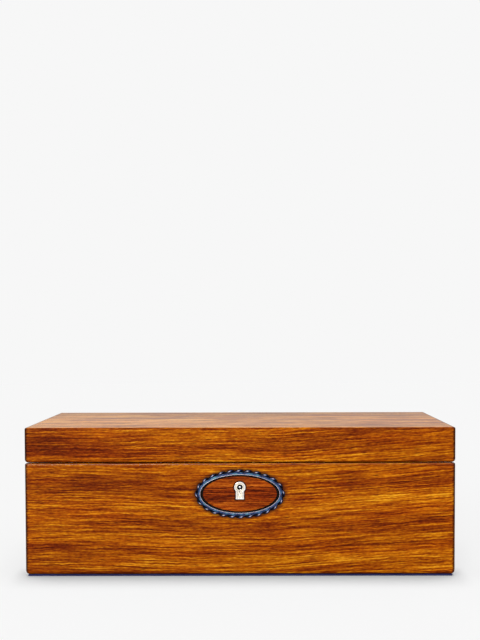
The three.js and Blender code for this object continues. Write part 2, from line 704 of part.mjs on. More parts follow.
// One padded roll: a rounded section that draws in towards both ends
function ringRoll(x0, x1, y, halfThick, low) {
  const positions = [];
  const indices = [];
  const straight = 2 * ROLL_PINCH;
  range(ROLL_RINGS).forEach((ring) => {
    const along = ring / (ROLL_RINGS - 1);
    const x = x0 + (x1 - x0) * (1 - Math.cos(Math.PI * along)) / 2;
    const toEnd = Math.max(0, Math.min(x - x0, x1 - x, straight)) / straight;
    const draw = ROLL_PINCH * (1 - Math.sqrt(1 - (1 - toEnd) ** 2));
    range(ROLL_SIDES).forEach((side) => {
      const turn = (2 * Math.PI * side) / ROLL_SIDES;
      const round = (value) => Math.sign(value) * Math.sqrt(Math.abs(value));
      const reachY = (halfThick - draw) * round(Math.cos(turn));
      const reachZ = (ROLL_HEIGHT / 2 - draw) * round(Math.sin(turn));
      positions.push(x, y + reachY, low + ROLL_HEIGHT / 2 + reachZ);
    });
  });
  const last = ROLL_RINGS - 1;
  range(last).forEach((ring) => range(ROLL_SIDES).forEach((side) => {
    const next = (side + 1) % ROLL_SIDES;
    const [a, b] = [ring * ROLL_SIDES + side, ring * ROLL_SIDES + next];
    const [c, d] = [a + ROLL_SIDES, b + ROLL_SIDES];
    indices.push(a, b, c, b, d, c);
  }));
  range(ROLL_SIDES - 2).forEach((side) => {
    indices.push(0, side + 2, side + 1);
    const first = last * ROLL_SIDES;
    indices.push(first, first + side + 1, first + side + 2);
  });
  const geometry = new THREE.BufferGeometry();
  geometry.setAttribute('position', new THREE.Float32BufferAttribute(positions, 3));
  geometry.setIndex(indices);
  geometry.computeVertexNormals();
  return geometry;
}

function ringRolls() {
  const right = bayLeft - DIVIDER_THICK;
  const riserTop = dividerTop - ROLL_HEIGHT - FIT;
  add('ring_riser', block(-linedX, right, bayFront, linedY, linedFloor, riserTop), VELVET);
  const pitch = (linedY - bayFront) / ROLL_COUNT;
  range(ROLL_COUNT).forEach((place) => {
    const y = bayFront + pitch * (place + 1 / 2);
    const roll = ringRoll(-linedX + FIT, right - FIT, y, pitch / 2 - FIT / 2, riserTop + FIT);
    add(`ring_roll_${place + 1}`, roll, VELVET);
  });
}

// A gear outline about the origin: tapered teeth, the first one pointing along the phase
function gearOutline(teeth, module, phase) {
  const pitchRadius = (teeth * module) / 2;
  const root = pitchRadius - module * DEDENDUM_SHARE;
  const tip = pitchRadius + module * ADDENDUM_SHARE;
  const step = (2 * Math.PI) / teeth;
  const corners = [
    [root, -TOOTH_ROOT_SHARE / 2],
    [tip, -TOOTH_TIP_SHARE / 2],
    [tip, TOOTH_TIP_SHARE / 2],
    [root, TOOTH_ROOT_SHARE / 2],
  ];
  return range(teeth).flatMap((tooth) => corners.map(([radius, share]) => {
    const turn = phase + step * (tooth + (share * pitchRadius) / radius);
    return [radius * Math.cos(turn), radius * Math.sin(turn)];
  }));
}

// A gear on an axle along X
function gearOnX(teeth, module, phase, start, y) {
  const outline = gearOutline(teeth, module, phase).map(([u, v]) => [y + u, cylinderZ + v]);
  return extrude('x', outlineOf(outline), start, start + GEAR_FACE);
}

function movementBlock() {
  const body = block(
    barrelX + planBlockLeft, barrelX + planBlockRight,
    cylinderY + planBedFront - BLOCK_MARGIN, cylinderY + planBedBack + BLOCK_MARGIN,
    floorTop, bedLow,
  );
  add('movement_block', cut(body, wellCutter()), WOOD);
}

const combLow = cylinderZ - COMB_THICK / 2;
const cylinderLeft = barrelX + planCylinder;
const cylinderRight = cylinderLeft + CYLINDER_LENGTH;

function movementBed() {
  const plate = block(
    barrelX + planBedLeft, barrelX + planBedRight,
    cylinderY + planBedFront, cylinderY + planBedBack,
    bedLow, bedTop,
  );
  const pedestal = block(
    cylinderLeft, cylinderRight,
    cylinderY + planCombHeel, cylinderY + planCombTip - COMB_TOOTH_LENGTH,
    bedLow, combLow,
  );
  const arborHole = rod('z', bedLow - OVERRUN, bedTop + OVERRUN, barrelX, cylinderY, ARBOR_RADIUS + FIT);
  add('movement_bed', cut(join(plate, pedestal), arborHole), ZINC);
}

// The barrel holds the mainspring and drives the cylinder by crown teeth on its rim
function springBarrel() {
  const depth = MODULE * (ADDENDUM_SHARE + DEDENDUM_SHARE);
  const pitch = Math.PI * MODULE;
  const inner = crownRadius - CROWN_FACE / 2;
  const profile = outlineOf([
    [-pitch * TOOTH_ROOT_SHARE / 2, barrelTop - MODULE],
    [pitch * TOOTH_ROOT_SHARE / 2, barrelTop - MODULE],
    [pitch * TOOTH_ROOT_SHARE / 2, barrelTop],
    [pitch * TOOTH_TIP_SHARE / 2, barrelTop + depth],
    [-pitch * TOOTH_TIP_SHARE / 2, barrelTop + depth],
    [-pitch * TOOTH_ROOT_SHARE / 2, barrelTop],
  ]);
  const chamfer = MODULE / 2;
  const teeth = range(CROWN_TEETH).map((tooth) => {
    const bar = extrude('x', profile, inner, barrelRadius - chamfer);
    return bar.rotateZ((2 * Math.PI * (tooth + 1 / 2)) / CROWN_TEETH).translate(barrelX, cylinderY, 0);
  });
  const drum = rod('z', barrelLow, barrelTop, barrelX, cylinderY, barrelRadius, CYLINDER_STEPS);
  const bore = rod('z', barrelLow - OVERRUN, barrelTop + OVERRUN, barrelX, cylinderY, ARBOR_RADIUS + FIT);
  add('spring_barrel', cut(join(drum, ...teeth), bore), BRASS);
}

const bridgeLow = cylinderZ - BRIDGE_THICK / 2;
const bridgeTop = cylinderZ + BRIDGE_THICK / 2;
const arborTop = bridgeLow + SHAFT_SEAT - RUNNING;

function barrelBridge() {
  const half = BRIDGE_WIDTH / 2;
  const reach = barrelRadius + GEAR_GAP + BRIDGE_POST;
  const bar = block(barrelX - half, barrelX + half, cylinderY - reach, cylinderY + reach, bridgeLow, bridgeTop);
  const posts = [-reach, reach - BRIDGE_POST].map((y) => block(
    barrelX - half, barrelX + half,
    cylinderY + y, cylinderY + y + BRIDGE_POST,
    bedTop, bridgeTop,
  ));
  const arborSeat = rod(
    'z', bridgeLow - OVERRUN, bridgeLow + SHAFT_SEAT,
    barrelX, cylinderY, ARBOR_RADIUS + RUNNING,
  );
  const shaftSeat = rod(
    'x', barrelX + ARBOR_RADIUS, barrelX + half + OVERRUN,
    cylinderY, cylinderZ, SHAFT_RADIUS + RUNNING,
  );
  add('barrel_bridge', cut(join(bar, ...posts), arborSeat, shaftSeat), BRASS);
}

// Cylinder with its tune pins, crown pinion, train gear and shaft
function musicCylinder() {
  const drum = rod('x', cylinderLeft, cylinderRight, cylinderY, cylinderZ, CYLINDER_RADIUS, CYLINDER_STEPS);
  const shaft = rod(
    'x', barrelX + ARBOR_RADIUS + RUNNING, barrelX + planPlate + SHAFT_SEAT - RUNNING,
    cylinderY, cylinderZ, SHAFT_RADIUS,
  );
  const pinionLeft = barrelX + crownRadius - GEAR_FACE / 2;
  const pinion = gearOnX(PINION_TEETH, MODULE, -Math.PI / 2, pinionLeft, cylinderY);
  const gear = gearOnX(CYLINDER_GEAR_TEETH, FINE_MODULE, 0, barrelX + planGear, cylinderY);
  const pitch = CYLINDER_LENGTH / COMB_TEETH;
  const half = TUNE_PIN_SIZE / 2;
  const pins = range(COMB_TEETH).flatMap((track) => range(TUNE_PINS_PER_TRACK).map((place) => {
    const x = cylinderLeft + pitch * (track + 1 / 2);
    const turns = TUNE_SPREAD_SHARES[place] + (track * (place + 1)) / COMB_TEETH;
    const pin = block(x - half, x + half, -half, half, CYLINDER_RADIUS / 2, CYLINDER_RADIUS + TUNE_PIN_HEIGHT);
    return pin.rotateX(2 * Math.PI * turns).translate(0, cylinderY, cylinderZ);
  }));
  add('music_cylinder', join(drum, shaft, pinion, gear, ...pins), BRASS);
}

function comb() {
  const tip = cylinderY + planCombTip;
  const root = tip - COMB_TOOTH_LENGTH;
  const heel = cylinderY + planCombHeel;
  const pitch = CYLINDER_LENGTH / COMB_TEETH;
  const slot = (pitch * COMB_SLOT_SHARE) / 2;
  const teeth = range(COMB_TEETH).reverse().flatMap((tooth) => {
    const [left, right] = [cylinderLeft + pitch * tooth + slot, cylinderLeft + pitch * (tooth + 1) - slot];
    return [[right, root], [right, tip], [left, tip], [left, root]];
  });
  const outline = outlineOf([[cylinderLeft, heel], [cylinderRight, heel], ...teeth]);
  add('music_comb', extrude('z', outline, combLow, combLow + COMB_THICK), STEEL);
}

// Casting that carries the cylinder's right end, the idler wheel and the fly
function governorBracket() {
  const plateX = barrelX + planPlate;
  const cheekX = barrelX + planCheek;
  const idlerY = cylinderY + planIdler;
  const boss = SHAFT_RADIUS + BRACKET_WALL;
  const armHalf = SHAFT_RADIUS + BRACKET_WALL / 2;
  const plate = block(plateX, plateX + BRACKET_WALL, cylinderY - boss, wormY + armHalf, bedTop, upperArmTop);
  const cheek = block(cheekX, cheekX + BRACKET_WALL, idlerY - boss, idlerY + boss, bedTop, cylinderZ + boss);
  const foot = block(cheekX, plateX + BRACKET_WALL, idlerY - boss, wormY + armHalf, bedTop, bedTop + BRACKET_WALL);
  const arm = (low, high) => block(wormX - armHalf, plateX + BRACKET_WALL, wormY - armHalf, wormY + armHalf, low, high);
  const lowerArmTop = cylinderZ - WORM_HALF - FIT;
  const body = join(plate, cheek, foot, arm(lowerArmTop - BRACKET_WALL, lowerArmTop), arm(upperArmLow, upperArmTop));
  const seatRadius = SHAFT_RADIUS + RUNNING;
  add('governor_bracket', cut(
    body,
    rod('x', plateX - OVERRUN, plateX + SHAFT_SEAT, cylinderY, cylinderZ, seatRadius),
    rod('x', cheekX - OVERRUN, plateX + SHAFT_SEAT, idlerY, cylinderZ, seatRadius),
    rod('z', lowerArmTop - SHAFT_SEAT, upperArmTop + OVERRUN, wormX, wormY, seatRadius),
  ), ZINC);
}

function idlerWheel() {
  const idlerY = cylinderY + planIdler;
  const gearX = barrelX + planGear;
  const shaft = rod('x', gearX, barrelX + planPlate + SHAFT_SEAT - RUNNING, idlerY, cylinderZ, SHAFT_RADIUS);
  const toothGap = Math.PI + Math.PI / IDLER_PINION_TEETH;
  const pinion = gearOnX(IDLER_PINION_TEETH, FINE_MODULE, toothGap, gearX, idlerY);
  const wheel = gearOnX(WORM_WHEEL_TEETH, FINE_MODULE, 0, barrelX + planWheel, idlerY);
  add('idler_wheel', join(shaft, pinion, wheel), BRASS);
}

function governorFly() {
  const low = cylinderZ - WORM_HALF - FIT - SHAFT_SEAT + RUNNING;
  const shaft = rod('z', low, flyTop, wormX, wormY, SHAFT_RADIUS);
  const worm = rod('z', cylinderZ - WORM_HALF, cylinderZ + WORM_HALF, wormX, wormY, WORM_RADIUS);
  const half = FLY_BLADE / 2;
  const blade = block(wormX - FLY_WIDTH / 2, wormX + FLY_WIDTH / 2, wormY - half, wormY + half, flyLow, flyTop - half);
  add('governor_fly', join(shaft, worm, blade), STEEL);
}

// Winding arbor and its butterfly key in the well under the base
function winding() {
  const wingTop = KEY_RECESS + KEY_HEIGHT;
  const hubTop = wingTop + KEY_HUB_HEIGHT;
  const arborLow = wingTop - KEY_HEIGHT / 2;
  add('winding_arbor', rod('z', arborLow, arborTop, barrelX, cylinderY, ARBOR_RADIUS), STEEL);

  const lobe = KEY_HEIGHT / 2;
  const lobeX = KEY_WIDTH / 2 - lobe;
  const wing = (side) => rod(
    'y', cylinderY - KEY_THICK / 2, cylinderY + KEY_THICK / 2,
    barrelX + side * lobeX, KEY_RECESS + lobe, lobe,
  );
  const web = block(
    barrelX - lobeX, barrelX + lobeX,
    cylinderY - KEY_THICK / 2, cylinderY + KEY_THICK / 2,
    KEY_RECESS + lobe / 2, wingTop - lobe / 2,
  );
  const hub = rod('z', KEY_RECESS + lobe / 2, hubTop, barrelX, cylinderY, KEY_HUB_RADIUS);
  const bore = rod('z', arborLow, hubTop + OVERRUN, barrelX, cylinderY, ARBOR_RADIUS + GLUE);
  add('winding_key', cut(join(wing(-1), wing(1), web, hub), bore), BRASS);
}

// A pin in the back board's edge that the lid holds down, with an arm that brakes the fly
function stopPlunger() {
  const pin = rod('z', plungerLow, lidLow - FIT, wormX, plungerY, PLUNGER_RADIUS);
  const half = STOP_ARM_WIDTH / 2;
  const arm = block(wormX - half, wormX + half, wormY - half, plungerY, stopArmLow, stopArmTop);
  add('stop_plunger', join(pin, arm), BRASS);
}

function movementCover() {
  const ledgeLow = coverLow - LEDGE_HEIGHT;
  add('cover_ledge_left', block(bayLeft, bayLeft + LEDGE_WIDTH, bayFront, linedY, ledgeLow, coverLow), VELVET);
  add('cover_ledge_right', block(linedX - LEDGE_WIDTH, linedX, bayFront, linedY, ledgeLow, coverLow), VELVET);
  const cover = block(bayLeft + FIT, linedX - FIT, bayFront + FIT, linedY - FIT, coverLow, coverTop);
  add('movement_cover', cover, CLEAR);
}

caseFloor();
caseBoards();
ovalOrnament();
escutcheon();
lock();
caseLining();
dividers();
ringRolls();
movementBlock();
movementBed();
springBarrel();
barrelBridge();
musicCylinder();
comb();
governorBracket();
idlerWheel();
governorFly();
winding();
stopPlunger();
movementCover();
lid();
lidInside();
lockStrike();
hinges.forEach(([side, x]) => hinge(side, x));

export default jewelryBox;
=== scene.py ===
import json
import math

import bmesh
import bpy
from mathutils import Matrix, Vector, noise

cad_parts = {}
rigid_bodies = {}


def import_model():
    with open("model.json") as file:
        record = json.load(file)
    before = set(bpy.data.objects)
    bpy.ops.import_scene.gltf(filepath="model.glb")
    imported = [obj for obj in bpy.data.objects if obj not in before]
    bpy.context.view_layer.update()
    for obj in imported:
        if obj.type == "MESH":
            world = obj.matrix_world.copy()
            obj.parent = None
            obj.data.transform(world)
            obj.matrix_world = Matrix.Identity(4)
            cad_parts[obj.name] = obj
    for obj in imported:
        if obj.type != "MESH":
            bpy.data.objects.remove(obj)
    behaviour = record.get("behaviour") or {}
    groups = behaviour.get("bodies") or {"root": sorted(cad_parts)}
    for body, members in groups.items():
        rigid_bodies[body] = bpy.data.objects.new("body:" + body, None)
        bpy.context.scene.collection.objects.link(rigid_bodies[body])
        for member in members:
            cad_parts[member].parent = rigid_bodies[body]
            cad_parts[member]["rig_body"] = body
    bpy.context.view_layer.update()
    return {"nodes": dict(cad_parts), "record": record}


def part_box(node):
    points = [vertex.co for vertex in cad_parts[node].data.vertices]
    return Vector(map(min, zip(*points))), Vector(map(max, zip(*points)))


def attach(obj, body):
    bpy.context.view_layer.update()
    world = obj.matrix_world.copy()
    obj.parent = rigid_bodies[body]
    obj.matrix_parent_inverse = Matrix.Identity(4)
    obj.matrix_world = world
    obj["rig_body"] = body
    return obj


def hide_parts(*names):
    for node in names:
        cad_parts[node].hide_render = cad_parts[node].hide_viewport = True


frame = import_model()
bpy.context.scene.view_settings.view_transform = "Standard"

MM = 0.001
nodes = frame["nodes"]
slot_of = {part["node"]: part["material_slot"] for part in frame["record"]["subparts"]}

# Camera, from the photograph's perspective on the box's corners
FRAME_HEIGHT_PX = 640
FOCAL_PX = 1534.6
AXIS_DROP_PX = 103.0
SENSOR_MM = 36
CAMERA_X = 10.31 * MM
CAMERA_Y = -1163.72 * MM
CAMERA_Z = 170.24 * MM
CAMERA_YAW = math.radians(-0.543)
CAMERA_PITCH = math.radians(3.4)
CAMERA_ROLL = math.radians(-0.15)

# Studio: plain light from the front, from above and from the floor
BACKDROP = 0.93
FLOOR_RADIUS = 4.0
FLOOR_STEPS = 64
FLOOR_GAP = 0.02 * MM
FLOOR_ALBEDO = 0.93
FLOOR_GLOW_SHARE = 0.72
SHADOW_REACH = 0.16
SHADOW_FADE_BACK = 0.04
AMBIENT_FRONT = 0.46
AMBIENT_BACK = 0.2
AMBIENT_SIDE_SHARE = 0.35
TOP_SUN = 1.8
TOP_SUN_SPREAD = math.radians(38)
TOP_SUN_HEIGHT = math.radians(79)
FRONT_SUN = 1.6
FRONT_SUN_SPREAD = math.radians(20)
FRONT_SUN_HEIGHT = math.radians(15)
FRONT_SUN_SIDE = math.radians(-12)
TOP_SUN_SIDE = math.radians(180)
# Grey that the wood shows to bounced light: painted shade that darkens the floor next to the box
BOUNCE = 0.1

# Copied pieces: weld, flat faces and hard edges
WELD = 1e-6
FLAT_ANGLE = math.radians(0.6)
SHARP_ANGLE = math.radians(35)
BEVEL_STEPS = 2

# Whole box
HALF_WIDTH = 150 * MM
CASE_TOP = 79.2 * MM
LID_LOW = 79.6 * MM
LID_TOP = 104 * MM
FRONT_Y = -100 * MM

# Oval ring on the front
OVAL_Z = 57.6 * MM
RING_OUTER = (30.4 * MM, 16.1 * MM)
RING_INNER = (27.65 * MM, 13.35 * MM)
LOBES = 24
STEPS_PER_LOBE = 14
WALK_FINENESS = 40
LOBE_DEPTH = 1.0 * MM
ROPE_START_SHARE = 0.46
ROPE_ROWS = 9
ROPE_SLANT = 0.45
ROPE_HEIGHT = 0.9 * MM
ROPE_ROOT = 0.3 * MM
# Band rows: share of the way out, height in mm, and how pale, the pale inner rim being partly a painted
# highlight
BAND_ROWS = [
    (0.00, 0.00, 0.2),
    (0.00, 0.60, 0.5),
    (0.05, 0.72, 0.75),
    (0.10, 0.68, 0.55),
    (0.14, 0.46, 0.0),
    (0.22, 0.42, 0.0),
    (0.34, 0.52, 0.0),
    (0.42, 0.46, 0.0),
]

# Painted shade round the ring's outside: its oval, where it fades out as a share of that oval, and its
# strength
RING_SHADE_OVAL = (31.3 * MM, 17.0 * MM)
RING_SHADE_END = 1.1
RING_SHADE = 0.62

# Keyhole plate: a round head over a flared foot
KEYHOLE_Z = 62.15 * MM
PLATE_HEAD = 3.95 * MM
PLATE_WAIST = (58.3 * MM, 2.6 * MM)
PLATE_FOOT = (53.7 * MM, 2.95 * MM)
# Painted shade round the plate: its reach in mm and its strength
PLATE_SHADE_REACH = (0.45 * MM, 1.3 * MM)
PLATE_SHADE = 0.78
BORE_RADIUS = 1.95 * MM
RECESS_Y = -99.25 * MM

# Foot pad
PAD_TRIM = 1.3 * MM
PAD_END = 5 * MM

# Ring rolls
ROLLS = 5
ROLL_RINGS = 90
ROLL_SIDES = 44
ROLL_SQUARE = 0.74
ROLL_PINCH = 2.2 * MM
ROLL_SHOULDER = 3.2 * MM
ROLL_SEAM = 0.35 * MM
ROLL_DENT = 0.7 * MM

# Screws: node, 1 for heads that look up and -1 for down, and x, y, z and radius in mm
SCREW_STEPS = 10
SCREW_SLOT_SHARE = 0.14
SCREW_RISE = 0.14 * MM
SCREW_FLOOR = 0.02 * MM
SCREWS = [
    ("hinge_case_leaf_left", 1, [(-107, 95, 79.2, 1.5), (-95, 94, 79.2, 1.5), (-83, 95, 79.2, 1.5)]),
    ("hinge_case_leaf_right", 1, [(83, 95, 79.2, 1.5), (95, 94, 79.2, 1.5), (107, 95, 79.2, 1.5)]),
    ("hinge_lid_leaf_left", -1, [(-107, 95, 79.6, 1.5), (-95, 94, 79.6, 1.5), (-83, 95, 79.6, 1.5)]),
    ("hinge_lid_leaf_right", -1, [(83, 95, 79.6, 1.5), (95, 94, 79.6, 1.5), (107, 95, 79.6, 1.5)]),
    ("lock_selvedge", 1, [(-22.5, -92, 79.2, 1.6), (22.5, -92, 79.2, 1.6)]),
    ("music_comb", 1, [(103.5, 31.6, 35.3, 1.3), (109.6, 31.6, 35.3, 1.3), (115.7, 31.6, 35.3, 1.3)]),
    ("barrel_bridge", 1, [(89.2, 38.2, 36.8, 1.3), (89.2, 59.2, 36.8, 1.3)]),
    ("movement_bed", 1, [(79.6, 28, 20.4, 1.2), (127.6, 28, 20.4, 1.2), (79.6, 67.4, 20.4, 1.2)]),
]

# Governor's worm
WORM_AXIS = Vector((124.9, 65.9, 0)) * MM
WORM_CORE = 1.4 * MM
THREAD_CREST = 1.16
THREAD_LOW = 31.1 * MM
THREAD_HIGH = 38.1 * MM
THREAD_TURNS = 3.7
THREAD_STEPS = 120

# Copied pieces, and by how many mm their sharp edges are softened
SOFTENED = {
    "felt_pad": 0.35,
    "oval_line": 0.0,
    "oval_panel": 0.0,
    "lock_pin": 0.15,
    "lock_selvedge": 0.12,
    "lock_bolt": 0.2,
    "lock_strike": 0.15,
    "lining_front": 0.5,
    "lining_back": 0.5,
    "lining_left": 0.5,
    "lining_right": 0.5,
    "lining_floor": 0.4,
    "divider_long": 1.3,
    "divider_short": 1.3,
    "divider_movement": 1.3,
    "ring_riser": 0.8,
    "cover_ledge_left": 0.6,
    "cover_ledge_right": 0.6,
    "lid_lining": 0.5,
    "mirror_frame": 1.1,
    "lid_mirror": 0.4,
    "movement_block": 0.5,
    "movement_bed": 0.3,
    "spring_barrel": 0.1,
    "barrel_bridge": 0.35,
    "music_cylinder": 0.0,
    "music_comb": 0.06,
    "governor_bracket": 0.25,
    "idler_wheel": 0.0,
    "governor_fly": 0.1,
    "winding_arbor": 0.2,
    "winding_key": 0.5,
    "stop_plunger": 0.2,
    "movement_cover": 0.25,
    "hinge_case_leaf_left": 0.12,
    "hinge_case_leaf_right": 0.12,
    "hinge_lid_leaf_left": 0.12,
    "hinge_lid_leaf_right": 0.12,
    "hinge_pin_left": 0.25,
    "hinge_pin_right": 0.25,
    "case_floor": 0.0,
}


def make_camera():
    data = bpy.data.cameras.new("camera")
    data.sensor_width = SENSOR_MM
    data.lens = FOCAL_PX * SENSOR_MM / FRAME_HEIGHT_PX
    data.shift_y = AXIS_DROP_PX / FRAME_HEIGHT_PX
    camera = bpy.data.objects.new("camera", data)
    bpy.context.scene.collection.objects.link(camera)
    level_x = math.cos(CAMERA_PITCH)
    forward = Vector((
        math.sin(CAMERA_YAW) * level_x,
        math.cos(CAMERA_YAW) * level_x,
        -math.sin(CAMERA_PITCH),
    ))
    level = Vector((math.cos(CAMERA_YAW), -math.sin(CAMERA_YAW), 0))
    upright = level.cross(forward)
    right = math.cos(CAMERA_ROLL) * level + math.sin(CAMERA_ROLL) * upright
    up = math.cos(CAMERA_ROLL) * upright - math.sin(CAMERA_ROLL) * level
    turn = Matrix((right, up, -forward)).transposed().to_4x4()
    camera.matrix_world = Matrix.Translation((CAMERA_X, CAMERA_Y, CAMERA_Z)) @ turn
    bpy.context.scene.camera = camera


class Graph:
    """Adds shader nodes to one tree, with each input set or linked."""

    def __init__(self, owner):
        owner.use_nodes = True
        self.owner = owner
        self.tree = owner.node_tree
        self.tree.nodes.clear()

    def fill(self, made, key, value):
        if isinstance(value, bpy.types.NodeSocket):
            self.tree.links.new(value, made.inputs[key])
        elif isinstance(value, tuple) and made.inputs[key].type == "RGBA" and len(value) == 3:
            made.inputs[key].default_value = (*value, 1.0)
        else:
            made.inputs[key].default_value = value

    def add(self, kind, inputs=None, **settings):
        made = self.tree.nodes.new(kind)
        for key, value in settings.items():
            setattr(made, key, value)
        for key, value in (inputs or {}).items():
            self.fill(made, key, value)
        return made

    def place(self):
        return self.add("ShaderNodeTexCoord").outputs["Object"]

    def split(self, vector):
        return self.add("ShaderNodeSeparateXYZ", {0: vector}).outputs

    def vector(self, x, y, z):
        return self.add("ShaderNodeCombineXYZ", {0: x, 1: y, 2: z}).outputs[0]

    def math(self, operation, *values):
        inputs = dict(enumerate(values))
        return self.add("ShaderNodeMath", inputs, operation=operation).outputs[0]

    def remap(self, value, low, high, to_low=0.0, to_high=1.0, kind="LINEAR"):
        inputs = {0: value, 1: low, 2: high, 3: to_low, 4: to_high}
        return self.add("ShaderNodeMapRange", inputs, interpolation_type=kind).outputs[0]

    def noise(self, vector, scale, detail=2.0, roughness=0.5, seed=0.0):
        """Noise with its own scale along X, Y and Z, in waves a metre."""
        scaled = self.add("ShaderNodeVectorMath", {0: vector, 1: scale}, operation="MULTIPLY").outputs[0]
        inputs = {"Vector": scaled, "W": seed, "Scale": 1.0, "Detail": detail, "Roughness": roughness}
        return self.add("ShaderNodeTexNoise", inputs, noise_dimensions="4D").outputs[0]

    def ramp(self, value, stops):
        made = self.add("ShaderNodeValToRGB", {0: value})
        band = made.color_ramp
        while len(band.elements) < len(stops):
            band.elements.new(1.0)
        for element, (place, color) in zip(band.elements, stops):
            element.position = place
            element.color = (*color, 1.0)
        return made.outputs[0]

    def mix(self, factor, first, second, blend="MIX"):
        made = self.add("ShaderNodeMix", {0: factor}, data_type="RGBA", blend_type=blend)
        self.fill(made, 6, first)
        self.fill(made, 7, second)
        return made.outputs[2]

    def bump(self, height, distance, strength=1.0):
        inputs = {"Height": height, "Distance": distance, "Strength": strength}
        return self.add("ShaderNodeBump", inputs).outputs[0]

    def finish(self, inputs):
        """Ends a material with one Principled shader."""
        shader = self.add("ShaderNodeBsdfPrincipled", inputs)
        self.add("ShaderNodeOutputMaterial", {"Surface": shader.outputs[0]})
        return self.owner


def srgb(red, green, blue):
    """A colour given as 8-bit sRGB, in the linear values that shaders take."""
    def linear(value):
        share = value / 255
        return share / 12.92 if share <= 0.04045 else ((share + 0.055) / 1.055) ** 2.4
    return (linear(red), linear(green), linear(blue))


def grey(value):
    return (value, value, value)


def make_world():
    """A pale studio whose plain light is strongest from the front and dim at the sides and behind."""
    world = bpy.data.worlds.new("studio")
    bpy.context.scene.world = world
    graph = Graph(world)
    direction = graph.split(graph.add("ShaderNodeTexCoord").outputs["Generated"])
    ambient = graph.remap(direction[1], -0.1, 0.4, AMBIENT_FRONT, AMBIENT_BACK)
    aside = graph.remap(graph.math("ABSOLUTE", direction[0]), 0.5, 0.95, 1.0, AMBIENT_SIDE_SHARE)
    ambient = graph.math("MULTIPLY", ambient, aside)
    path = graph.add("ShaderNodeLightPath").outputs
    seen = graph.math("MAXIMUM", path["Is Glossy Ray"], path["Is Transmission Ray"])
    seen = graph.math("MAXIMUM", seen, path["Is Camera Ray"])
    strength = graph.remap(seen, 0.0, 1.0, ambient, BACKDROP)
    background = graph.add("ShaderNodeBackground", {"Strength": strength})
    background.inputs["Color"].default_value = (1, 1, 1, 1)
    graph.add("ShaderNodeOutputWorld", {"Surface": background.outputs[0]})


def make_sun(name, energy, spread, azimuth, elevation):
    data = bpy.data.lights.new(name, "SUN")
    data.energy = energy
    data.angle = spread
    sun = bpy.data.objects.new(name, data)
    bpy.context.scene.collection.objects.link(sun)
    level = math.cos(elevation)
    towards = Vector((math.sin(azimuth) * level, -math.cos(azimuth) * level, math.sin(elevation)))
    sun.rotation_mode = "QUATERNION"
    sun.rotation_quaternion = towards.to_track_quat("Z", "Y")


def make_floor():
    """A pale floor that glows a little, so that it meets the white backdrop and still takes a shadow."""
    graph = Graph(bpy.data.materials.new("floor"))
    lit = graph.add("ShaderNodeBsdfDiffuse", {"Color": grey(FLOOR_ALBEDO)})
    glow = graph.add("ShaderNodeEmission", {"Color": grey(BACKDROP), "Strength": 1.0})
    path = graph.add("ShaderNodeLightPath").outputs
    seen = graph.math("MAXIMUM", path["Is Camera Ray"], path["Is Glossy Ray"])
    seen = graph.math("MAXIMUM", seen, path["Is Transmission Ray"])
    # Painted light: the glow is left out in front of the box, where the floor takes the shadow, and rises
    # beside and behind it, where it washes the box's shadow out.
    x, y, _ = graph.split(graph.place())
    beside = graph.remap(graph.math("ABSOLUTE", x), HALF_WIDTH, SHADOW_REACH)
    behind = graph.remap(y, FRONT_Y, FRONT_Y + SHADOW_FADE_BACK)
    outside = graph.math("MAXIMUM", beside, behind)
    share = graph.math("MULTIPLY", graph.math("MULTIPLY", seen, FLOOR_GLOW_SHARE), outside)
    mixed = graph.add("ShaderNodeMixShader", {0: share, 1: lit.outputs[0], 2: glow.outputs[0]})
    graph.add("ShaderNodeOutputMaterial", {"Surface": mixed.outputs[0]})
    mesh = bpy.data.meshes.new("floor")
    sheet = bmesh.new()
    bmesh.ops.create_circle(sheet, cap_ends=True, segments=FLOOR_STEPS, radius=FLOOR_RADIUS)
    sheet.to_mesh(mesh)
    sheet.free()
    floor = bpy.data.objects.new("floor", mesh)
    floor.location.z = -FLOOR_GAP
    bpy.context.scene.collection.objects.link(floor)
    mesh.materials.append(graph.owner)


# Wood colours, from dark pores to golden bands
WOOD_STOPS = [
    (0.00, srgb(70, 18, 1)),
    (0.18, srgb(104, 34, 1)),
    (0.38, srgb(136, 58, 1)),
    (0.56, srgb(166, 84, 2)),
    (0.76, srgb(198, 116, 6)),
    (1.00, srgb(232, 160, 30)),
]
# The top's colours: the wood's colours made lighter and paler, painted light and sheen on the top face
LIT_TOP_STOPS = [
    (0.00, srgb(112, 54, 8)),
    (0.25, srgb(158, 90, 18)),
    (0.50, srgb(192, 122, 36)),
    (0.75, srgb(214, 146, 56)),
    (1.00, srgb(238, 176, 88)),
]
PANEL_STOPS = [
    (0.00, srgb(64, 14, 1)),
    (0.25, srgb(110, 36, 2)),
    (0.45, srgb(146, 60, 4)),
    (0.70, srgb(180, 90, 14)),
    (1.00, srgb(212, 124, 36)),
]
PLAIN_STOPS = [
    (0.00, srgb(140, 98, 58)),
    (0.50, srgb(184, 144, 96)),
    (1.00, srgb(216, 184, 136)),
]

# Broad bands of the front's board: height in mm over the floor and how golden the wood is there
FIGURE = [
    (8, 0.66),
    (18, 0.26),
    (27, 0.68),
    (37, 0.34),
    (45, 0.74),
    (64, 0.34),
    (74, 0.64),
    (90, 0.50),
]
FIGURE_OWN = 0.45
RED_TINT = (1.0, 0.74, 0.6)
# Colour of the painted shade at the board corners, on the foot, and round the keyhole plate and the ring
PAINTED_SHADE_COLOR = (18, 8, 8)
EDGE_POLISH = 1.0
RISE_START = 20 * MM
RISE_SLOPE = 0.068
# Painted shade in nooks from ambient occlusion: its reach, its samples and its darkest share
NOOK_REACH = 1.4 * MM
NOOK_SAMPLES = 8
NOOK_SHADE = 0.62
FIBRE_CONTRAST = 0.16
LID_SHADE_LEFT = 0.09
LID_SHADE_RIGHT = 0.04
CASE_SHADE_LEFT = 0.035


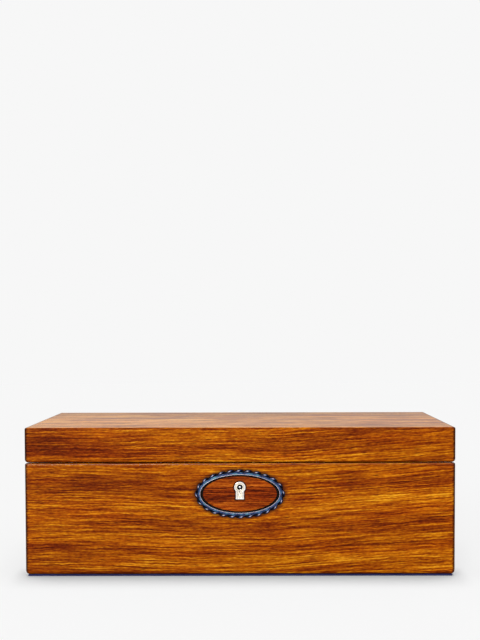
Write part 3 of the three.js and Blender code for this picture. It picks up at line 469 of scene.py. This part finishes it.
def plate_shade(graph, x, z):
    """How much painted shade darkens the wood close round the keyhole plate."""
    from_centre = graph.vector(x, 0.0, graph.math("SUBTRACT", z, KEYHOLE_Z))
    reach = graph.add("ShaderNodeVectorMath", {0: from_centre}, operation="LENGTH").outputs["Value"]
    head = graph.math("SUBTRACT", reach, PLATE_HEAD)
    half = graph.remap(z, PLATE_FOOT[0], PLATE_WAIST[0], PLATE_FOOT[1], PLATE_WAIST[1])
    foot = graph.math("SUBTRACT", graph.math("ABSOLUTE", x), half)
    foot = graph.math("MAXIMUM", foot, graph.math("SUBTRACT", PLATE_FOOT[0], z))
    foot = graph.math("MAXIMUM", foot, graph.math("SUBTRACT", z, KEYHOLE_Z))
    return graph.remap(graph.math("MINIMUM", head, foot), *PLATE_SHADE_REACH, PLATE_SHADE, 0.0)


def ring_shade(graph, x, z):
    """How much painted shade darkens the wood close round the oval ring."""
    across = graph.math("DIVIDE", x, RING_SHADE_OVAL[0])
    up = graph.math("DIVIDE", graph.math("SUBTRACT", z, OVAL_Z), RING_SHADE_OVAL[1])
    from_centre = graph.vector(across, 0.0, up)
    reach = graph.add("ShaderNodeVectorMath", {0: from_centre}, operation="LENGTH").outputs["Value"]
    return graph.remap(reach, 1.0, RING_SHADE_END, RING_SHADE, 0.0)


def wood(name, stops, grain="x", figure=False, seed=0.0, gloss=0.42, level=0.03, spread=0.56,
         flame=0.0, plate_shaded=False):
    """Lacquered wood: broad bands, streaks, fibres and pores drawn out along the grain."""
    graph = Graph(bpy.data.materials.new(name))
    x, y, z = graph.split(graph.place())
    height = z
    half_length = HALF_WIDTH
    if grain == "y":
        x, y = y, x
        half_length = -FRONT_Y
    plain = graph.vector(x, y, z)
    wave = graph.noise(plain, (7, 11, 11), 2.0, seed=seed)
    ripple = graph.noise(plain, (42, 60, 60), 2.0, seed=seed)
    shift = graph.math("MULTIPLY_ADD", wave, 0.008, -0.004)
    shift = graph.math("ADD", shift, graph.math("MULTIPLY_ADD", ripple, 0.0014, -0.0007))
    jitter = graph.noise(plain, (190, 330, 330), 1.0, seed=seed)
    shift = graph.math("ADD", shift, graph.math("MULTIPLY_ADD", jitter, 0.0011, -0.00055))
    if figure:
        beyond = graph.math("MAXIMUM", graph.math("SUBTRACT", x, RISE_START), 0.0)
        shift = graph.math("SUBTRACT", shift, graph.math("MULTIPLY", beyond, RISE_SLOPE))
    if flame:
        warped = graph.vector(x, graph.math("ADD", y, shift), z)
    else:
        warped = graph.vector(x, y, graph.math("ADD", z, shift))
    bands = graph.remap(graph.noise(warped, (4, 105, 105), 2.0, seed=seed), 0.32, 0.68)
    if figure:
        level_share = graph.math("DIVIDE", graph.math("ADD", z, shift), LID_TOP)
        shown = graph.ramp(level_share, [(mm * MM / LID_TOP, grey(value)) for mm, value in FIGURE])
        bands = graph.mix(FIGURE_OWN, shown, graph.vector(bands, bands, bands))
    streaks = graph.remap(graph.noise(warped, (12, 560, 560), 2.0, 0.55, seed=seed), 0.32, 0.68)
    fine = graph.remap(graph.noise(warped, (34, 1150, 1150), 1.0, 0.5, seed=seed), 0.32, 0.68)
    hair = graph.remap(graph.noise(warped, (330, 950, 950), 1.0, seed=seed), 0.3, 0.7)
    value = graph.math("MULTIPLY", bands, 0.36)
    value = graph.math("MULTIPLY_ADD", streaks, 0.18, value)
    value = graph.math("MULTIPLY_ADD", fine, 0.32, value)
    value = graph.math("MULTIPLY_ADD", hair, 0.14, value)
    fibre = graph.noise(warped, (120, 3600, 3600), 2.0, 0.6, seed=seed + 6)
    fibre = graph.remap(fibre, 0.32, 0.68, -0.5, 0.5)
    value = graph.math("MULTIPLY_ADD", fibre, FIBRE_CONTRAST, value)
    if flame:
        broad = graph.remap(graph.noise(plain, (34, 62, 62), 3.0, 0.6, seed=seed + 1), 0.32, 0.68)
        value = graph.math("MULTIPLY_ADD", graph.math("SUBTRACT", broad, 0.5), flame, value)
    if figure:
        left_end = graph.remap(x, -0.055, -0.115, 0.0, LID_SHADE_LEFT)
        right_end = graph.remap(x, 0.03, 0.11, 0.0, LID_SHADE_RIGHT)
        ends = graph.math("ADD", left_end, right_end)
        on_lid = graph.remap(height, CASE_TOP, LID_LOW)
        value = graph.math("SUBTRACT", value, graph.math("MULTIPLY", ends, on_lid))
        case_left = graph.remap(x, 0.0, -0.07, 0.0, CASE_SHADE_LEFT)
        on_case = graph.math("SUBTRACT", 1.0, on_lid)
        value = graph.math("SUBTRACT", value, graph.math("MULTIPLY", case_left, on_case))
    value = graph.remap(value, 0.5 - spread / 2, 0.5 + spread / 2)
    color = graph.ramp(value, stops)
    red = graph.remap(graph.noise(warped, (14, 110, 110), 3.0, 0.6, seed=seed + 3), 0.44, 0.66, 0.0, 0.7)
    color = graph.mix(red, color, graph.mix(1.0, color, RED_TINT, "MULTIPLY"))
    pores = graph.remap(graph.noise(warped, (110, 2300, 2300), 1.0, seed=seed + 5), 0.6, 0.67, 0.0, 0.75)
    color = graph.mix(pores, color, stops[0][1])
    if flame:
        # Painted shade: the top's colour and its specular level fall off towards the back.
        level = graph.remap(y, -0.02, 0.1, level, 0.6 * level)
        painted_back_shade = graph.remap(y, -0.02, 0.1, 1.0, 0.58)
        color = graph.mix(1.0, color, graph.vector(painted_back_shade, painted_back_shade, painted_back_shade), "MULTIPLY")
    # Painted shade: the wood darkens near the boards' vertical corners, where the rounded edges turn from
    # the light, and on the rounded foot just above the floor. The panel and the front also take painted
    # shade round the keyhole plate and the ring.
    from_middle = graph.math("ABSOLUTE", x)
    corner = graph.remap(from_middle, half_length - 2.4 * MM, half_length - 0.8 * MM, 0.0, 0.92)
    foot = graph.remap(height, 1.2 * MM, 2.2 * MM, 0.8, 0.0)
    dark = graph.math("MAXIMUM", corner, foot)
    # Painted shade round the keyhole plate
    if plate_shaded:
        dark = graph.math("MAXIMUM", dark, plate_shade(graph, x, z))
    if figure:
        # Painted shade round the oval ring
        dark = graph.math("MAXIMUM", dark, ring_shade(graph, x, z))
    color = graph.mix(dark, color, srgb(*PAINTED_SHADE_COLOR))
    # Painted shade: ambient occlusion darkens the colour in nooks, at seams and round raised parts.
    nook = graph.add("ShaderNodeAmbientOcclusion", {"Distance": NOOK_REACH}, samples=NOOK_SAMPLES)
    nook = graph.remap(nook.outputs["AO"], 0.45, 0.95, NOOK_SHADE, 1.0)
    color = graph.mix(1.0, color, graph.vector(nook, nook, nook), "MULTIPLY")
    # Painted shade: bounced light sees the wood as dark grey, so the floor's shadow beside it comes out
    # darker and neutral.
    bounced = graph.add("ShaderNodeLightPath").outputs["Is Diffuse Ray"]
    color = graph.mix(bounced, color, grey(BOUNCE))
    normal = graph.bump(graph.math("SUBTRACT", fine, pores), 0.00005, 0.4)
    polish = graph.remap(height, CASE_TOP - 1.2 * MM, CASE_TOP - 0.6 * MM, 0.0, EDGE_POLISH)
    below_seam = graph.remap(height, CASE_TOP, CASE_TOP + 0.1 * MM, 1.0, 0.0)
    return graph.finish({
        "Coat Weight": graph.math("MULTIPLY", polish, below_seam),
        "Coat Roughness": 0.16,
        "Base Color": color,
        "Roughness": graph.remap(fine, 0.0, 1.0, gloss * 1.08, gloss * 0.92),
        "Specular IOR Level": level,
        "Normal": normal,
    })


def metal(name, color, roughness, mottle=0.1, brushed=False, metallic=1.0, level=0.5, relief=0.35):
    """Metal with a slight mottle and fine relief, drawn out along X where it is brushed."""
    graph = Graph(bpy.data.materials.new(name))
    place = graph.place()
    cloud = graph.noise(place, (240, 240, 240), 3.0)
    shade = graph.remap(cloud, 0.3, 0.7, 1.0 - mottle, 1.0)
    tone = graph.mix(1.0, color, graph.vector(shade, shade, shade), "MULTIPLY")
    scale = (90, 4200, 4200) if brushed else (1500, 1500, 1500)
    lines = graph.noise(place, scale, 2.0)
    return graph.finish({
        "Base Color": tone,
        "Roughness": graph.remap(cloud, 0.3, 0.7, roughness * 0.8, roughness * 1.2),
        "Metallic": metallic,
        "Specular IOR Level": level,
        "Normal": graph.bump(lines, 0.00002, relief),
    })


def velvet(name, color, tip, pile, sheen):
    """Short pile: brushed patches, fine grain and a soft sheen."""
    graph = Graph(bpy.data.materials.new(name))
    place = graph.place()
    patches = graph.remap(graph.noise(place, (26, 26, 26), 3.0, 0.6), 0.35, 0.65)
    grain = graph.noise(place, grey(pile), 2.0)
    fleck = graph.remap(grain, 0.35, 0.65)
    share = graph.math("MULTIPLY_ADD", fleck, 0.45, graph.math("MULTIPLY", patches, 0.45))
    return graph.finish({
        "Base Color": graph.mix(share, color, tip),
        "Roughness": 0.9,
        "Specular IOR Level": 0.1,
        "Sheen Weight": sheen,
        "Sheen Roughness": 0.35,
        "Sheen Tint": (*tip, 1.0),
        "Normal": graph.bump(grain, 0.00025, 0.8),
    })


def enamel():
    """Blue enamel on the ring: navy to teal, near-black in the grooves as painted shade, pale on the
    lobes' tips as painted highlights, and pale on the inner rim, partly as a painted highlight.
    """
    graph = Graph(bpy.data.materials.new("ring_enamel"))
    cloud = graph.remap(graph.noise(graph.place(), (300, 300, 300), 3.0), 0.36, 0.64)
    band = graph.ramp(cloud, [
        (0.0, srgb(16, 28, 72)),
        (0.4, srgb(32, 60, 108)),
        (0.7, srgb(44, 86, 126)),
        (1.0, srgb(72, 124, 142)),
    ])
    rope = graph.ramp(cloud, [
        (0.0, srgb(8, 9, 40)),
        (0.5, srgb(17, 27, 74)),
        (1.0, srgb(32, 56, 108)),
    ])
    parts = {
        name: graph.add("ShaderNodeAttribute", attribute_name=name).outputs["Fac"]
        for name in ("rope", "groove", "tip")
    }
    tone = graph.mix(parts["rope"], band, rope)
    # Painted shade: near-black in the grooves.
    tone = graph.mix(parts["groove"], tone, srgb(4, 4, 14))
    # Painted highlights: pale on the lobes' tips and the inner rim.
    tone = graph.mix(parts["tip"], tone, srgb(214, 204, 212))
    return graph.finish({
        "Base Color": tone,
        "Roughness": 0.34,
        "Metallic": 0.1,
        "Specular IOR Level": graph.remap(parts["groove"], 0.0, 1.0, 0.25, 0.02),
        "Normal": graph.bump(cloud, 0.00004, 0.5),
    })


def clear_plate():
    graph = Graph(bpy.data.materials.new("cover_plate"))
    smear = graph.noise(graph.place(), (18, 40, 18), 3.0)
    return graph.finish({
        "Base Color": (0.95, 0.98, 0.98, 1),
        "Roughness": graph.remap(smear, 0.3, 0.7, 0.02, 0.07),
        "IOR": 1.49,
        "Transmission Weight": 1.0,
    })


make_camera()
make_world()
make_floor()
make_sun("top_light", TOP_SUN, TOP_SUN_SPREAD, TOP_SUN_SIDE, TOP_SUN_HEIGHT)
make_sun("front_light", FRONT_SUN, FRONT_SUN_SPREAD, FRONT_SUN_SIDE, FRONT_SUN_HEIGHT)

looks = {
    "case_wood": wood("long_grain", WOOD_STOPS),
    "front_wood": wood("front_figure", WOOD_STOPS, figure=True),
    "side_wood": wood("side_grain", WOOD_STOPS, "y", seed=7.0),
    "top_wood": wood("top_grain", LIT_TOP_STOPS, seed=2.0, gloss=0.38, level=0.17, spread=0.38, flame=0.3),
    "panel_wood": wood("oval_grain", PANEL_STOPS, seed=4.0, plate_shaded=True),
    "plain_wood": wood("block_grain", PLAIN_STOPS, seed=9.0),
    "inlay_line": metal("black_inlay", srgb(9, 5, 3), 0.6, metallic=0.0, level=0.05),
    "blue_enamel": enamel(),
    "nickel": metal("bright_nickel", srgb(244, 238, 232), 0.2, 0.08),
    "recess": metal("worn_nickel", srgb(216, 210, 192), 0.34, 0.2),
    # Painted shade inside the keyhole's bore: a near-black teal
    "bore_dark": metal("painted_bore_shade", srgb(14, 34, 44), 0.4, 0.3, metallic=0.3, level=0.2),
    "brass": metal("lacquered_brass", srgb(222, 182, 106), 0.28, 0.06, relief=0.1),
    "steel": metal("brushed_steel", srgb(200, 202, 206), 0.3, 0.06, brushed=True, relief=0.2),
    "zinc": metal("cast_zinc", srgb(190, 192, 196), 0.45, 0.12),
    "velvet": velvet("lining_velvet", srgb(12, 18, 50), srgb(40, 52, 104), 1400, 0.5),
    "base_felt": velvet("foot_felt", srgb(32, 32, 72), srgb(54, 58, 106), 900, 0.1),
    "mirror": metal("mirror_silver", srgb(240, 244, 246), 0.015, 0.01, relief=0.0),
    "clear_cover": clear_plate(),
}


def new_piece(name, shape, node, look=None, replace=True):
    """Makes a piece from a bmesh that rides with a CAD node and, as a rule, stands for it."""
    mesh = bpy.data.meshes.new(name)
    shape.to_mesh(mesh)
    shape.free()
    piece = bpy.data.objects.new(name, mesh)
    bpy.context.scene.collection.objects.link(piece)
    mesh.materials.append(looks[look or slot_of[node]])
    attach(piece, nodes[node]["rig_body"])
    if replace:
        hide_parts(node)
    return piece


def smooth(piece):
    """Rounds the shading over soft edges and keeps hard ones."""
    mesh = piece.data
    mesh.polygons.foreach_set("use_smooth", [True] * len(mesh.polygons))
    mesh.set_sharp_from_angle(angle=SHARP_ANGLE)
    weighted = piece.modifiers.new("flats", "WEIGHTED_NORMAL")
    weighted.keep_sharp = True
    weighted.weight = 100
    return piece


def copy_of(node):
    """A CAD node's shape with its corners welded and its flat faces whole again."""
    shape = bmesh.new()
    shape.from_mesh(nodes[node].data)
    bmesh.ops.remove_doubles(shape, verts=shape.verts, dist=WELD)
    bmesh.ops.dissolve_limit(shape, angle_limit=FLAT_ANGLE, verts=shape.verts, edges=shape.edges)
    return shape


def soften(shape, width):
    """Rounds the sharp edges of a shape."""
    sharp = [
        edge for edge in shape.edges
        if edge.is_manifold and edge.calc_face_angle(0) > SHARP_ANGLE
    ]
    bmesh.ops.bevel(
        shape, geom=sharp, offset=width, segments=BEVEL_STEPS, profile=0.5,
        affect="EDGES", clamp_overlap=True,
    )


def refine(node, name, width=0.0, look=None):
    """A copy of a CAD node in its place, with smooth shading and, given a width, softened edges."""
    shape = copy_of(node)
    if width:
        soften(shape, width)
    return smooth(new_piece(name, shape, node, look=look))


def skin(rings, round_trip=False):
    """A shape over closed rings of points, joined end to end or closed at both ends."""
    shape = bmesh.new()
    rows = [[shape.verts.new(point) for point in ring] for ring in rings]
    pairs = list(zip(rows, rows[1:])) + ([(rows[-1], rows[0])] if round_trip else [])
    for first, second in pairs:
        for index in range(len(first)):
            after = (index + 1) % len(first)
            shape.faces.new((first[index], first[after], second[after], second[index]))
    if not round_trip:
        shape.faces.new(reversed(rows[0]))
        shape.faces.new(rows[-1])
    bmesh.ops.recalc_face_normals(shape, faces=shape.faces)
    return shape


def even_points(half_length, half_height, count):
    """Points spaced evenly by length round an ellipse, with their outward directions."""
    steps = count * WALK_FINENESS
    dense = [
        (half_length * math.cos(math.tau * i / steps), half_height * math.sin(math.tau * i / steps))
        for i in range(steps + 1)
    ]
    walked = [0.0]
    for (x0, z0), (x1, z1) in zip(dense, dense[1:]):
        walked.append(walked[-1] + math.hypot(x1 - x0, z1 - z0))
    found = []
    place = 0
    for index in range(count):
        target = walked[-1] * index / count
        while walked[place + 1] < target:
            place += 1
        x, z = dense[place]
        normal = Vector((x / half_length ** 2, 0, z / half_height ** 2)).normalized()
        found.append((Vector((x, 0, z)), normal))
    return found


def make_ring():
    """The oval ring: a pale inner rim, a blue band and a rope of slanted lobes round the outside."""
    rings = []
    marks = {"rope": [], "groove": [], "tip": []}
    for index, (outer, normal) in enumerate(even_points(*RING_OUTER, LOBES * STEPS_PER_LOBE)):
        phase = index / STEPS_PER_LOBE
        outer = outer + normal * LOBE_DEPTH * abs(math.cos(math.pi * phase))
        reach = math.hypot(RING_INNER[0] * normal.x, RING_INNER[1] * normal.z)
        inner = Vector((RING_INNER[0] ** 2 * normal.x, 0, RING_INNER[1] ** 2 * normal.z)) / reach
        rows = [(share, height * MM, 0.0, 0.0, pale) for share, height, pale in BAND_ROWS]
        for row in range(ROPE_ROWS):
            across = row / (ROPE_ROWS - 1)
            lobe = (phase + ROPE_SLANT * (across - 1) + 0.5) % 1 - 0.5
            crown = math.sin(math.pi * (0.08 + 0.80 * across)) ** 0.6
            round_share = math.sqrt(max(0.0, 1 - (2 * lobe) ** 2))
            height = ROPE_ROOT + (ROPE_HEIGHT - ROPE_ROOT) * crown * round_share
            # Painted shade: black between the lobes, along the rope's root and at its outer edge.
            groove = min(1.0, max(0.0, (abs(lobe) - 0.25 + 0.14 * across) / 0.13))
            groove = max(groove, 1.0 if row == 0 else 0.0, min(1.0, (across - 0.74) / 0.2))
            # Painted highlight: a pale spot on each lobe.
            spot = ((lobe + 0.03) / 0.1) ** 2 + ((across - 0.58) / 0.14) ** 2
            share = ROPE_START_SHARE + (1 - ROPE_START_SHARE) * across
            rows.append((share, height, 1.0, groove, 0.95 * math.exp(-spot * spot)))
        rows.append((1.0, 0.0, 1.0, 1.0, 0.0))
        ring = []
        for share, height, rope, groove, tip in rows:
            point = inner.lerp(outer, share)
            ring.append((point.x, FRONT_Y - height, OVAL_Z + point.z))
            marks["rope"].append(rope)
            marks["groove"].append(groove)
            marks["tip"].append(tip)
        rings.append(ring)
    piece = smooth(new_piece("rope_ring", skin(rings, round_trip=True), "oval_ring"))
    for name, values in marks.items():
        piece.data.attributes.new(name, "FLOAT", "POINT").data.foreach_set("value", values)


def use_look(piece, look, picks):
    """Gives another look to the faces that picks() accepts."""
    piece.data.materials.append(looks[look])
    index = len(piece.data.materials) - 1
    for face in piece.data.polygons:
        if picks(face):
            face.material_index = index


def trim_ends(pad):
    """Draws the pad's ends in, so that it stops short of the case's rounded foot."""
    for vert in pad.data.vertices:
        if abs(vert.co.x) > HALF_WIDTH - PAD_END:
            vert.co.x -= math.copysign(PAD_TRIM, vert.co.x)


def dented_height(point, low, high):
    """The height of a point once slow noise has dented it, more at a soft piece's top than at its foot."""
    share = (point.z - low.z) / (high.z - low.z)
    dent = noise.noise(point * 90) * 0.6 + noise.noise(point * 260) * 0.25
    return point.z - ROLL_DENT * share * (0.5 + dent)


def make_roll(node):
    """A padded ring roll: a crowned velvet tube that draws in at both ends, with a seam round each end."""
    low, high = (Vector(corner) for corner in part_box(node))
    middle = (low + high) / 2
    half = (high - low) / 2
    rings = []
    for ring in range(ROLL_RINGS):
        share = ring / (ROLL_RINGS - 1)
        x = middle.x - half.x * math.cos(math.pi * share)
        to_end = min(x - low.x, high.x - x)
        draw = ROLL_PINCH * (1 - math.sqrt(max(0.0, 1 - (1 - min(1, to_end / ROLL_SHOULDER)) ** 2)))
        draw += ROLL_SEAM * math.exp(-((to_end - ROLL_SHOULDER) / (0.5 * MM)) ** 2)
        points = []
        for side in range(ROLL_SIDES):
            turn = math.tau * side / ROLL_SIDES
            across, up = math.cos(turn), math.sin(turn)
            y = math.copysign(abs(across) ** ROLL_SQUARE, across)
            z = math.copysign(abs(up) ** ROLL_SQUARE, up)
            point = Vector((x, middle.y + (half.y - draw) * y, middle.z + (half.z - draw) * z))
            point.z = dented_height(point, low, high)
            points.append(point)
        rings.append(points)
    roll = smooth(new_piece(node + "_velvet", skin(rings), node))


def screw_head(shape, place, turn, radius):
    """Adds a slotted, slightly domed head that looks along its own Z, to a shape."""
    slot = radius * SCREW_SLOT_SHARE
    start = math.asin(slot / radius)
    rows = [(1.0, -0.1), (1.0, 0.35), (0.86, 0.8), (0.5, 1.0)]
    for flip in (0, math.pi):
        layers = []
        for size, rise in rows:
            layer = []
            for step in range(SCREW_STEPS + 1):
                angle = start + (math.pi - 2 * start) * step / SCREW_STEPS
                x = radius * size * math.cos(angle)
                y = slot + (radius * math.sin(angle) - slot) * size
                point = Vector((x, y, SCREW_RISE * rise))
                point.rotate(Matrix.Rotation(flip, 3, "Z"))
                layer.append(shape.verts.new(place + turn @ point))
            layers.append(layer)
        for first, second in zip(layers, layers[1:]):
            for index in range(len(first)):
                after = (index + 1) % len(first)
                shape.faces.new((first[index], first[after], second[after], second[index]))
        shape.faces.new(layers[-1])
        shape.faces.new(reversed(layers[0]))
    disc = [
        shape.verts.new(place + turn @ Vector((radius * math.cos(a), radius * math.sin(a), SCREW_FLOOR)))
        for a in (math.tau * step / (2 * SCREW_STEPS) for step in range(2 * SCREW_STEPS))
    ]
    shape.faces.new(disc)


def make_screws(node, facing, places):
    """The small wood or machine screws of one piece, with their slots turned at different angles."""
    shape = bmesh.new()
    towards = Vector((0, 0, facing))
    for index, (x, y, z, radius) in enumerate(places):
        turn = towards.to_track_quat("Z", "Y").to_matrix() @ Matrix.Rotation(0.4 + 1.7 * index, 3, "Z")
        screw_head(shape, Vector((x, y, z)) * MM, turn, radius * MM)
    bmesh.ops.recalc_face_normals(shape, faces=shape.faces)
    look = "steel" if slot_of[node] in ("zinc", "steel") else slot_of[node]
    smooth(new_piece(node + "_screws", shape, node, look=look, replace=False))


def make_worm_thread():
    """The governor's worm: a thin thread wound round the fly's core."""
    rings = []
    for step in range(THREAD_STEPS + 1):
        share = step / THREAD_STEPS
        turn = math.tau * THREAD_TURNS * share
        fade = min(1, 12 * share, 12 * (1 - share))
        height = THREAD_LOW + (THREAD_HIGH - THREAD_LOW) * share
        points = []
        for reach, rise in ((0.9, -0.42), (THREAD_CREST, -0.14), (THREAD_CREST, 0.14), (0.9, 0.42)):
            radius = (WORM_CORE - 0.1 * MM) + (reach * MM - 0.9 * MM) * fade
            place = Vector((math.cos(turn) * radius, math.sin(turn) * radius, height + rise * MM))
            points.append(WORM_AXIS + place)
        rings.append(points)
    smooth(new_piece("worm_thread", skin(rings), "governor_fly", replace=False))


def make_escutcheon():
    piece = refine("keyhole_escutcheon", "keyhole_plate", 0.22 * MM)

    def in_bore(face):
        aside = math.hypot(face.center.x, face.center.z - KEYHOLE_Z)
        return face.center.y > RECESS_Y and aside < BORE_RADIUS
    use_look(piece, "recess", lambda face: face.normal.y < -0.9 and face.center.y > RECESS_Y - 0.2 * MM)
    # Painted shade: faces inside the bore, on the plate and on the lock body behind it, take the dark bore
    # colour.
    use_look(piece, "bore_dark", in_bore)
    use_look(refine("lock_case", "lock_body", 0.3 * MM), "bore_dark", in_bore)


for board in ("case_front", "lid_front"):
    refine(board, board + "_board", look="front_wood")
for board in ("case_back", "lid_back"):
    refine(board, board + "_board", look="case_wood")
for board in ("case_left", "case_right", "lid_left", "lid_right"):
    refine(board, board + "_board", look="side_wood")
lid_panel = refine("lid_top", "lid_top_panel", look="case_wood")
use_look(lid_panel, "side_wood", lambda face: abs(face.normal.x) > 0.7)
use_look(lid_panel, "front_wood", lambda face: face.normal.y < -0.5)
use_look(lid_panel, "top_wood", lambda face: face.normal.z > 0.87)
make_ring()
make_escutcheon()

for node, width in SOFTENED.items():
    piece = refine(node, node + "_fine", width * MM)
    if node == "felt_pad":
        trim_ends(piece)
for index in range(1, ROLLS + 1):
    make_roll(f"ring_roll_{index}")
for node, facing, places in SCREWS:
    make_screws(node, facing, places)
make_worm_thread()
